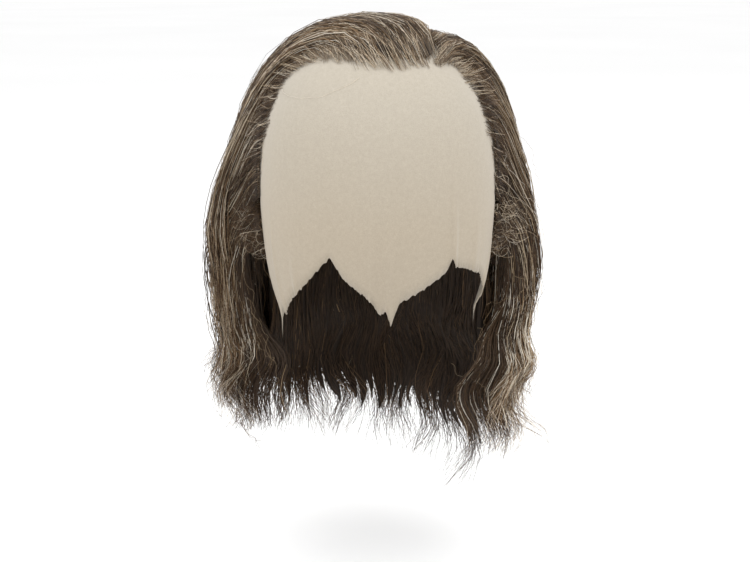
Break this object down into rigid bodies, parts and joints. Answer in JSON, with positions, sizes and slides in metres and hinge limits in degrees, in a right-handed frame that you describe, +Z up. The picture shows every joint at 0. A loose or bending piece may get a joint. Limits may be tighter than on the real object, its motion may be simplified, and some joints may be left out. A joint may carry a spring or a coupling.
{
  "type": "lace front wig",
  "caption": "Short layered wig: an uncut lace front and a cap carry greying brown hair, swept from a side part and hanging in wavy locks around an open hollow for the head.",
  "frame": {"origin": "on the inside of the cap at the crown, where the top of the head bears", "axes": "+Z up, -Y the way the face looks, +X to the right of the picture, which is the wearer's left"},
  "size_m": [0.2414, 0.2387, 0.3585],
  "materials": {
    "lace": "fine matte net, pale beige",
    "cap_net": "matte dark brown net",
    "hair": "satin brown hair flecked with grey and white",
    "under_hair": "satin dark brown hair",
    "curly_hair": "satin brown curly hair"
  },
  "bodies": {
    "root": {"lace_front": "lace", "cap": "cap_net", "hair_left": "hair", "hair_right": "hair", "hair_nape": "under_hair", "sideburn_left": "curly_hair", "sideburn_right": "curly_hair"}
  },
  "joints": []
}
